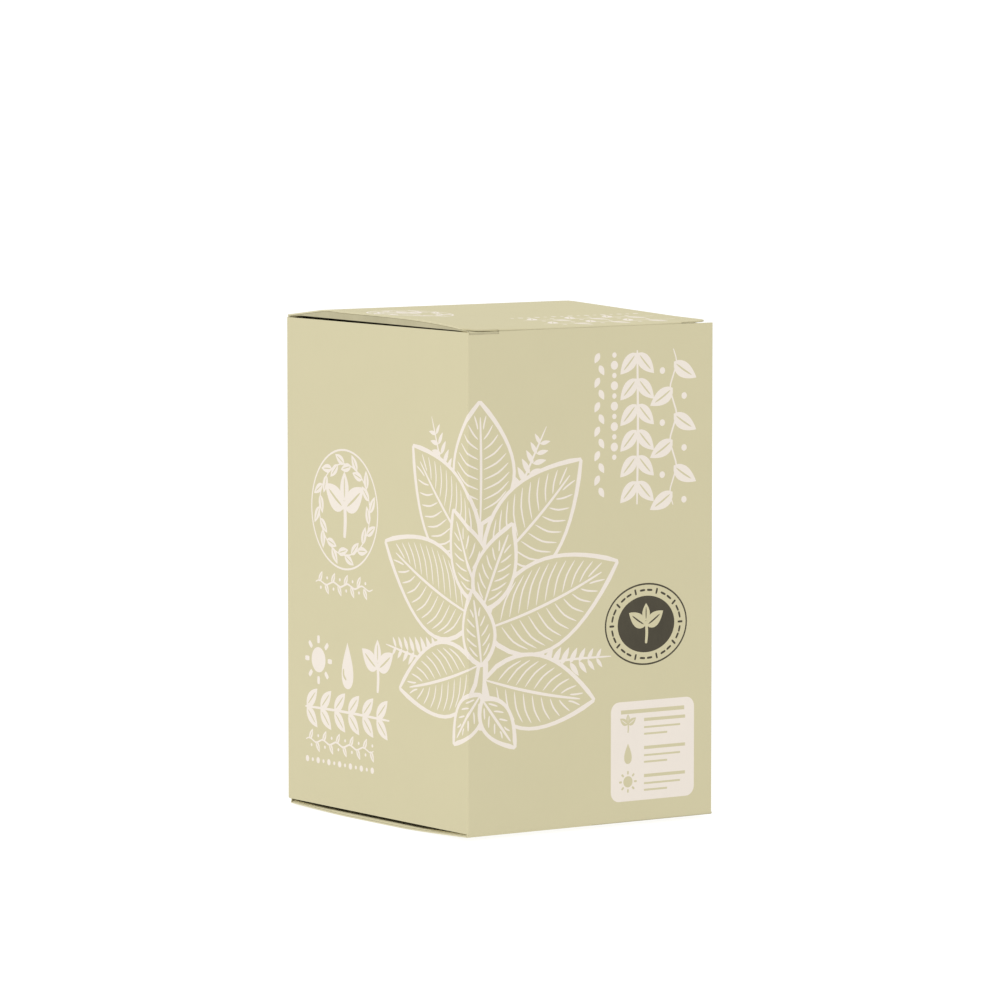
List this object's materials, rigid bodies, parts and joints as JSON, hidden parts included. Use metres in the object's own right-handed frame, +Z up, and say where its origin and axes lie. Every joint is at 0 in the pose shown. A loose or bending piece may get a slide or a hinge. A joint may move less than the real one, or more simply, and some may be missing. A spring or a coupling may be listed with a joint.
{
  "type": "mushroom grow kit carton",
  "caption": "Upright folding carton with a bowed tuck lid that hinges at the back, holding a grow bag with its substrate block and filter patch.",
  "frame": {"origin": "middle of the carton's foot, on the surface it stands on", "axes": "+Z up; the front panel, behind which the lid tucks, faces -Y; the left panel faces -X; the lid's hinge crease runs along X at the back"},
  "size_m": [0.1204, 0.131, 0.2063],
  "materials": {
    "printed_board": "matte uncoated print, khaki",
    "plain_board": "unprinted board",
    "bag_plastic": "thin translucent film",
    "patch_paper": "soft breathable membrane",
    "mycelium_block": "colonised sawdust, white and tan"
  },
  "bodies": {
    "carton": {"front_panel": "printed_board", "back_panel": "printed_board", "left_panel": "printed_board", "right_panel": "printed_board", "glue_flap": "plain_board", "left_dust_flap": "printed_board", "right_dust_flap": "printed_board", "bottom_panel": "printed_board", "bottom_tuck_flap": "plain_board", "bottom_left_dust_flap": "plain_board", "bottom_right_dust_flap": "plain_board", "grow_bag": "bag_plastic", "filter_patch": "patch_paper", "substrate_block": "mycelium_block"},
    "lid": {"lid_panel": "printed_board", "tuck_flap": "printed_board"}
  },
  "joints": [
    {"name": "lid_crease", "type": "hinge", "parent": "carton", "child": "lid", "pos_m": [0, 0.0655, 0.2029], "axis": [-1, 0, 0], "range_deg": [0, 180]}
  ]
}
